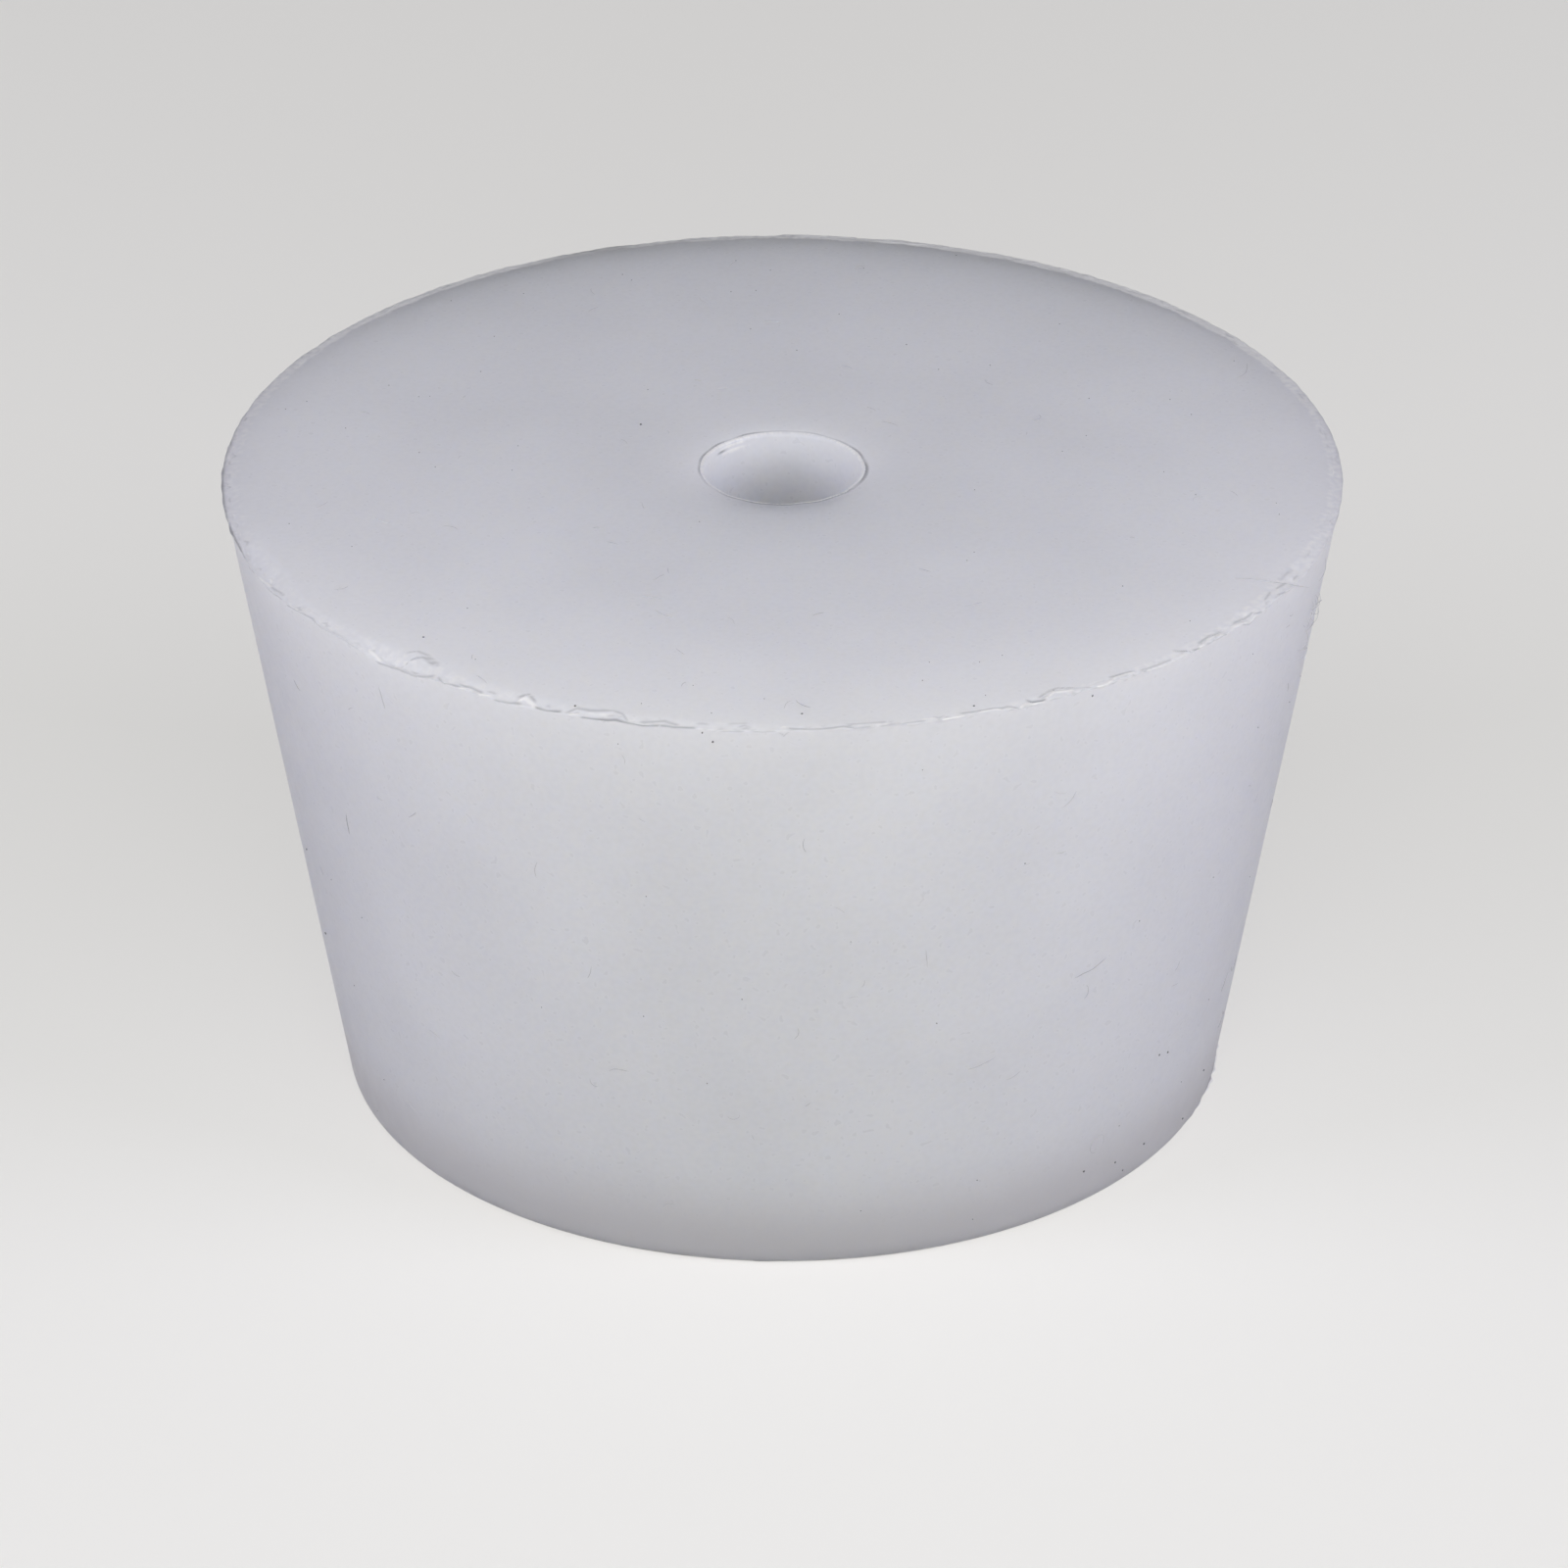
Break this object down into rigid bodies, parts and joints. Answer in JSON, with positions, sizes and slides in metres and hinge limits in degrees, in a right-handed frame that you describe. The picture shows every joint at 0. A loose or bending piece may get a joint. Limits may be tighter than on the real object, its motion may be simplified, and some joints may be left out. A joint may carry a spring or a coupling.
{
  "type": "rubber stopper",
  "caption": "Tapered milky silicone rubber plug with a straight central hole, for closing a flask neck round a tube.",
  "frame": {"origin": "centre of the narrow end face, on which the stopper stands", "axes": "+Z along the axis of the taper and of the hole, from the narrow end to the wide end; a scrap of flash at the narrow end lies near +X"},
  "size_m": [0.0453, 0.0453, 0.0265],
  "materials": {
    "silicone_rubber": "satin"
  },
  "bodies": {
    "root": {"stopper": "silicone_rubber"}
  },
  "joints": []
}
